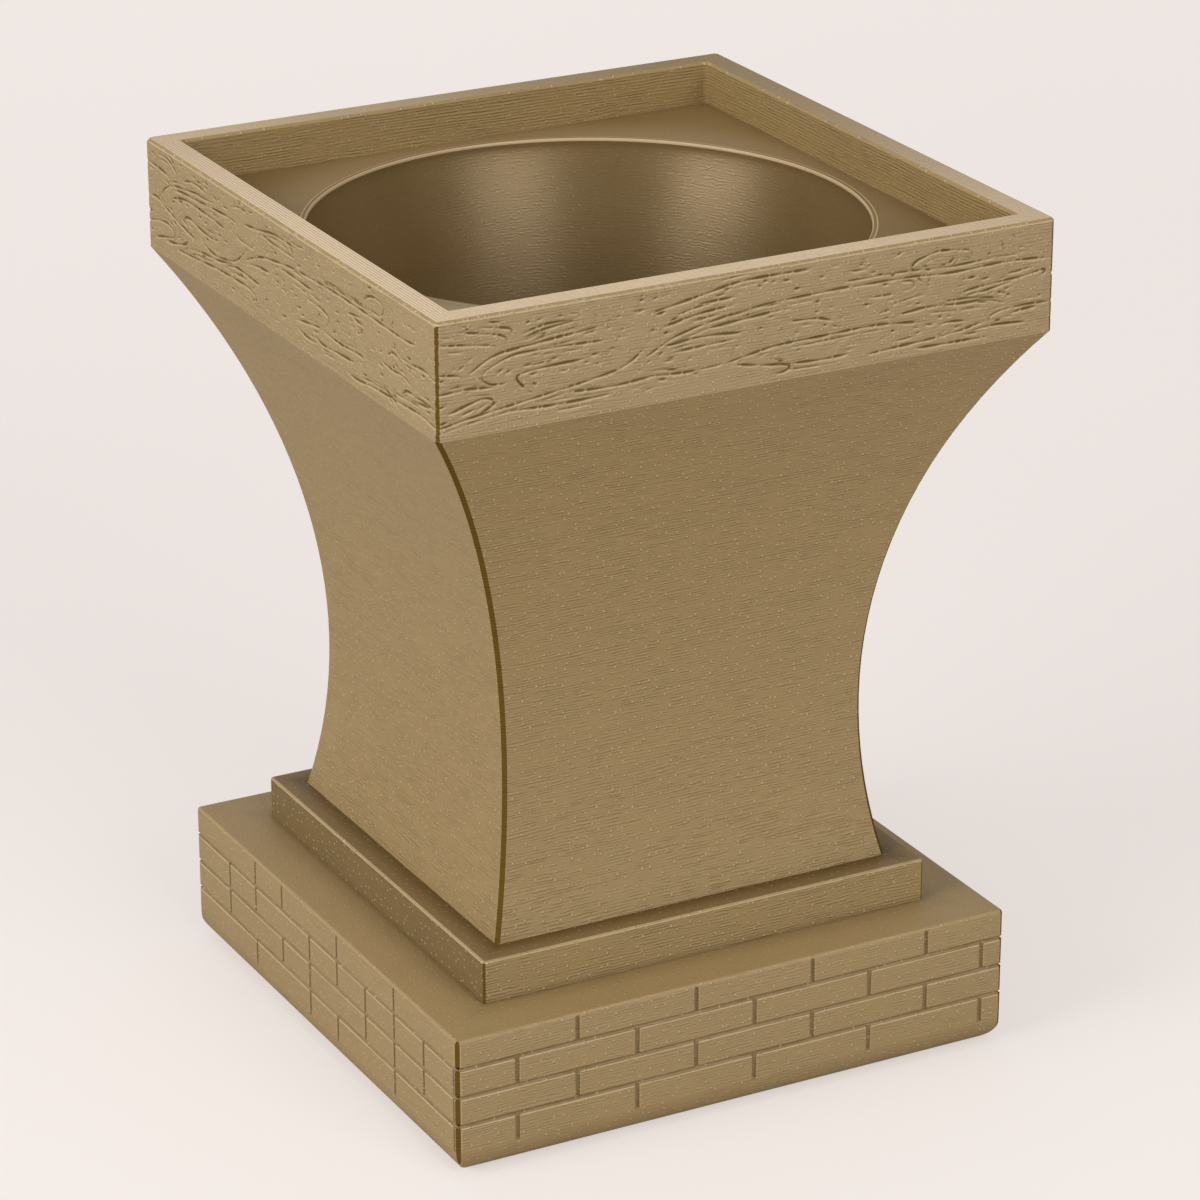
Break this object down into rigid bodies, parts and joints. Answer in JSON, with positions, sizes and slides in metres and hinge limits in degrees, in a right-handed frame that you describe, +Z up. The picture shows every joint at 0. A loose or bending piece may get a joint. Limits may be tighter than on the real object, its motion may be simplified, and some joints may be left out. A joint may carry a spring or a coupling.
{
  "type": "tulsi planter",
  "caption": "Square tulsi vrindavan planter: wood-grain parapet, shelf with a lift-out round pot, column with hollow faces, plain step and brick-course base slab.",
  "frame": {"origin": "middle of the base's flat underside", "axes": "+Z up, +X to the right and -Y towards the front face, which is the right-hand brick face in the picture"},
  "size_m": [0.12, 0.12, 0.161],
  "materials": {
    "bronze_print": "satin khaki bronze filament with fine print layers",
    "grained_print": "the same filament with raised wood grain",
    "pot_print": "the same filament, smoother and a little glossier",
    "screw_steel": "zinc-plated steel",
    "insert_brass": "plain brass"
  },
  "bodies": {
    "planter": {"brick_base": "bronze_print", "step_plinth": "bronze_print", "column_shell": "bronze_print", "collar_frame": "grained_print", "shelf_deck": "bronze_print", "drain_sleeve": "bronze_print", "base_screws": "screw_steel", "collar_screws": "screw_steel", "base_inserts": "insert_brass", "collar_inserts": "insert_brass"},
    "pot": {"planting_pot": "pot_print"}
  },
  "joints": [
    {"name": "pot_lift", "type": "slide", "parent": "planter", "child": "pot", "axis": [0, 0, 1], "range_m": [0, 0.125]}
  ]
}
